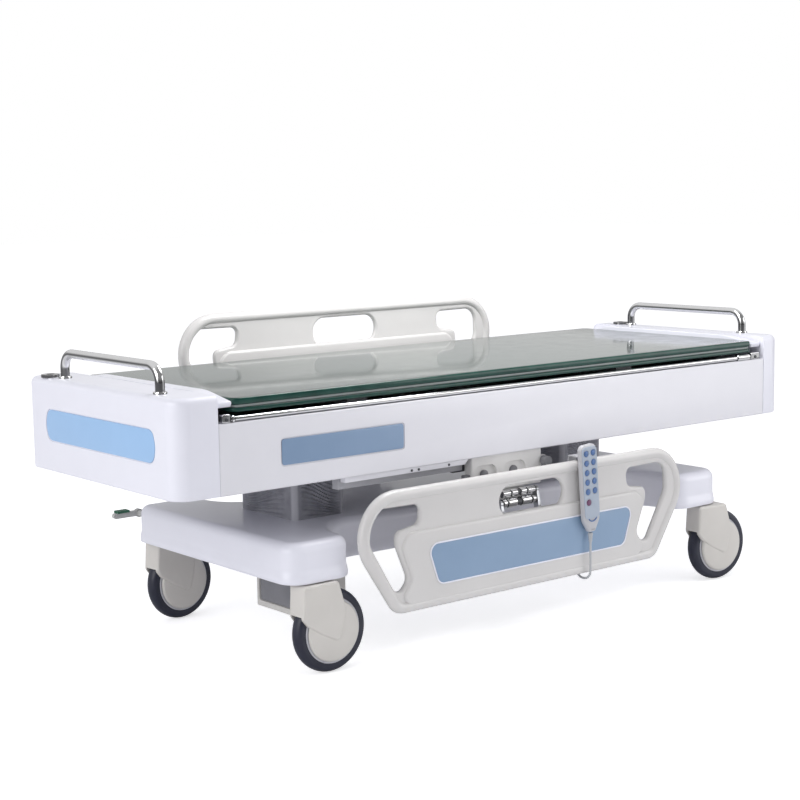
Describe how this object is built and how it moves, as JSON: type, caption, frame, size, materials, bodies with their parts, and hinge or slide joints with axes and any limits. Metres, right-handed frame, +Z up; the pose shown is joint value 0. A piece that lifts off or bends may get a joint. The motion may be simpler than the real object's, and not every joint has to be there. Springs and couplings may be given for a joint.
{
  "type": "stretcher trolley",
  "caption": "Height-adjustable patient transfer stretcher with a sideways-sliding belted board, swing-down side rails, push handles, column lift and castors.",
  "frame": {"origin": "on the floor, under the centre of the whole object's bounding box, with the deck fully lowered", "axes": "+X along the deck towards the end with the shorter cover, +Y across the deck towards the raised rail, +Z up"},
  "size_m": [2.047, 0.83, 0.7965],
  "materials": {
    "cover_white": "glossy",
    "beam_grey": "satin",
    "frame_steel": "satin",
    "deck_steel": "satin",
    "battery_case": "matte",
    "lever_grey": "satin",
    "pad_green": "matte",
    "cream_plastic": "satin",
    "hub_white": "satin",
    "tyre_navy": "matte",
    "chrome": "polished",
    "tube_steel": "brushed",
    "bellows_grey": "matte",
    "panel_light_blue": "glossy",
    "panel_blue": "glossy",
    "core_grey": "satin",
    "belt_green": "glossy",
    "knob_grey": "satin",
    "case_grey": "satin",
    "keypad_blue": "satin",
    "key_blue": "satin",
    "key_purple": "satin",
    "cable_grey": "satin"
  },
  "bodies": {
    "base": {"base_cover": "cover_white", "base_frame": "frame_steel", "battery_box": "battery_case", "column_bellows": "bellows_grey"},
    "brake_lever": {"brake_lever": "lever_grey", "pedal_pad": "pad_green"},
    "column_middle": {"column_middle_tubes": "tube_steel"},
    "deck": {"column_inner_tubes": "tube_steel", "deck_frame": "deck_steel", "left_shroud": "cover_white", "right_shroud": "cover_white", "side_beams": "beam_grey", "end_panels": "panel_light_blue", "side_panels": "panel_blue", "push_handles": "chrome", "pole_sockets": "chrome", "roller_brackets": "chrome", "rail_brackets": "cream_plastic", "rail_barrels": "chrome"},
    "board": {"board_core": "core_grey", "board_belts": "belt_green", "board_ends": "cover_white"},
    "near_roller": {"near_roller": "chrome"},
    "far_roller": {"far_roller": "chrome"},
    "near_upper_arm": {"near_upper_arm": "tube_steel"},
    "near_lower_arm": {"near_lower_arm": "tube_steel"},
    "near_rail": {"near_rail": "cream_plastic", "near_rail_insert": "panel_blue", "handset_cable": "cable_grey"},
    "near_latch": {"near_latch_knob": "knob_grey"},
    "far_upper_arm": {"far_upper_arm": "tube_steel"},
    "far_lower_arm": {"far_lower_arm": "tube_steel"},
    "far_rail": {"far_rail": "cream_plastic", "far_rail_insert": "panel_blue"},
    "far_latch": {"far_latch_knob": "knob_grey"},
    "handset": {"handset_case": "case_grey", "handset_keypad": "keypad_blue"},
    "castor_near_left": {"castor_housing_near_left": "cream_plastic"},
    "wheel_near_left": {"castor_hub_near_left": "hub_white", "castor_tyre_near_left": "tyre_navy"},
    "castor_near_right": {"castor_housing_near_right": "cream_plastic"},
    "wheel_near_right": {"castor_hub_near_right": "hub_white", "castor_tyre_near_right": "tyre_navy"},
    "castor_far_left": {"castor_housing_far_left": "cream_plastic"},
    "wheel_far_left": {"castor_hub_far_left": "hub_white", "castor_tyre_far_left": "tyre_navy"},
    "castor_far_right": {"castor_housing_far_right": "cream_plastic"},
    "wheel_far_right": {"castor_hub_far_right": "hub_white", "castor_tyre_far_right": "tyre_navy"},
    "button_1": {"button_1": "key_blue"},
    "button_2": {"button_2": "key_blue"},
    "button_3": {"button_3": "key_blue"},
    "button_4": {"button_4": "key_blue"},
    "button_5": {"button_5": "key_blue"},
    "button_6": {"button_6": "key_blue"},
    "button_7": {"button_7": "key_blue"},
    "button_8": {"button_8": "key_blue"},
    "button_9": {"button_9": "key_blue"},
    "button_10": {"button_10": "key_blue"},
    "power_button": {"power_button": "key_purple"}
  },
  "joints": [
    {"name": "castor_swivel_near_left", "type": "hinge", "parent": "base", "child": "castor_near_left", "pos_m": [-0.674, -0.316, 0.25], "axis": [0, 0, 1], "continuous": true},
    {"name": "wheel_spin_near_left", "type": "hinge", "parent": "castor_near_left", "child": "wheel_near_left", "pos_m": [-0.61801, -0.31502, 0.1], "axis": [-0.0175, 0.9998, 0], "continuous": true},
    {"name": "castor_swivel_near_right", "type": "hinge", "parent": "base", "child": "castor_near_right", "pos_m": [0.694, -0.316, 0.25], "axis": [0, 0, 1], "continuous": true},
    {"name": "wheel_spin_near_right", "type": "hinge", "parent": "castor_near_right", "child": "wheel_near_right", "pos_m": [0.74979, -0.32088, 0.1], "axis": [0.0872, 0.9962, 0], "continuous": true},
    {"name": "castor_swivel_far_left", "type": "hinge", "parent": "base", "child": "castor_far_left", "pos_m": [-0.674, 0.342, 0.25], "axis": [0, 0, 1], "continuous": true},
    {"name": "wheel_spin_far_left", "type": "hinge", "parent": "castor_far_left", "child": "wheel_far_left", "pos_m": [-0.61842, 0.34882, 0.1], "axis": [-0.1219, 0.9925, 0], "continuous": true},
    {"name": "castor_swivel_far_right", "type": "hinge", "parent": "base", "child": "castor_far_right", "pos_m": [0.694, 0.342, 0.25], "axis": [0, 0, 1], "continuous": true},
    {"name": "wheel_spin_far_right", "type": "hinge", "parent": "castor_far_right", "child": "wheel_far_right", "pos_m": [0.74992, 0.34493, 0.1], "axis": [-0.0523, 0.9986, 0], "continuous": true},
    {"name": "brake_lever_turn", "type": "hinge", "parent": "base", "child": "brake_lever", "pos_m": [-0.712, 0.296, 0.289], "axis": [0, 1, 0], "range_deg": [-18, 18]},
    {"name": "deck_lift", "type": "slide", "parent": "base", "child": "deck", "axis": [0, 0, 1], "range_m": [0, 0.26], "deforming": ["column_bellows"]},
    {"name": "column_middle_lift", "type": "slide", "parent": "base", "child": "column_middle", "axis": [0, 0, 1], "range_m": [0, 0.13]},
    {"name": "board_shift", "type": "slide", "parent": "deck", "child": "board", "axis": [0, 1, 0], "range_m": [-0.5, 0]},
    {"name": "near_roller_spin", "type": "hinge", "parent": "deck", "child": "near_roller", "pos_m": [0, -0.32, 0.6235], "axis": [1, 0, 0], "continuous": true},
    {"name": "far_roller_spin", "type": "hinge", "parent": "deck", "child": "far_roller", "pos_m": [0, 0.346, 0.6235], "axis": [1, 0, 0], "continuous": true},
    {"name": "near_rail_swing", "type": "hinge", "parent": "deck", "child": "near_upper_arm", "pos_m": [0, -0.322, 0.35], "axis": [-1, 0, 0], "range_deg": [0, 157.85]},
    {"name": "near_lower_arm_swing", "type": "hinge", "parent": "deck", "child": "near_lower_arm", "pos_m": [0, -0.322, 0.325], "axis": [-1, 0, 0], "range_deg": [0, 157.85]},
    {"name": "near_rail_level", "type": "hinge", "parent": "near_upper_arm", "child": "near_rail", "pos_m": [0, -0.359, 0.161], "axis": [-1, 0, 0], "range_deg": [-157.85, 0]},
    {"name": "near_latch_pull", "type": "slide", "parent": "deck", "child": "near_latch", "axis": [0, -1, 0], "range_m": [0, 0.01]},
    {"name": "far_rail_swing", "type": "hinge", "parent": "deck", "child": "far_upper_arm", "pos_m": [0, 0.348, 0.35], "axis": [1, 0, 0], "range_deg": [-157.85, 0]},
    {"name": "far_lower_arm_swing", "type": "hinge", "parent": "deck", "child": "far_lower_arm", "pos_m": [0, 0.348, 0.325], "axis": [1, 0, 0], "range_deg": [-157.85, 0]},
    {"name": "far_rail_level", "type": "hinge", "parent": "far_upper_arm", "child": "far_rail", "pos_m": [0, 0.385, 0.539], "axis": [1, 0, 0], "range_deg": [0, 157.85]},
    {"name": "far_latch_pull", "type": "slide", "parent": "deck", "child": "far_latch", "axis": [0, 1, 0], "range_m": [0, 0.01]},
    {"name": "handset_lift", "type": "slide", "parent": "near_rail", "child": "handset", "axis": [0, 0, 1], "range_m": [0, 0.045]},
    {"name": "press_1", "type": "slide", "parent": "handset", "child": "button_1", "axis": [0, 1, 0], "range_m": [0, 0.0012]},
    {"name": "press_2", "type": "slide", "parent": "handset", "child": "button_2", "axis": [0, 1, 0], "range_m": [0, 0.0012]},
    {"name": "press_3", "type": "slide", "parent": "handset", "child": "button_3", "axis": [0, 1, 0], "range_m": [0, 0.0012]},
    {"name": "press_4", "type": "slide", "parent": "handset", "child": "button_4", "axis": [0, 1, 0], "range_m": [0, 0.0012]},
    {"name": "press_5", "type": "slide", "parent": "handset", "child": "button_5", "axis": [0, 1, 0], "range_m": [0, 0.0012]},
    {"name": "press_6", "type": "slide", "parent": "handset", "child": "button_6", "axis": [0, 1, 0], "range_m": [0, 0.0012]},
    {"name": "press_7", "type": "slide", "parent": "handset", "child": "button_7", "axis": [0, 1, 0], "range_m": [0, 0.0012]},
    {"name": "press_8", "type": "slide", "parent": "handset", "child": "button_8", "axis": [0, 1, 0], "range_m": [0, 0.0012]},
    {"name": "press_9", "type": "slide", "parent": "handset", "child": "button_9", "axis": [0, 1, 0], "range_m": [0, 0.0012]},
    {"name": "press_10", "type": "slide", "parent": "handset", "child": "button_10", "axis": [0, 1, 0], "range_m": [0, 0.0012]},
    {"name": "press_power", "type": "slide", "parent": "handset", "child": "power_button", "axis": [0, 1, 0], "range_m": [0, 0.0012]}
  ],
  "couplings": [
    {"joint": "column_middle_lift", "follows": "deck_lift", "ratio": 0.5},
    {"joint": "near_lower_arm_swing", "follows": "near_rail_swing", "ratio": 1},
    {"joint": "near_rail_level", "follows": "near_rail_swing", "ratio": -1},
    {"joint": "far_lower_arm_swing", "follows": "far_rail_swing", "ratio": 1},
    {"joint": "far_rail_level", "follows": "far_rail_swing", "ratio": -1}
  ]
}
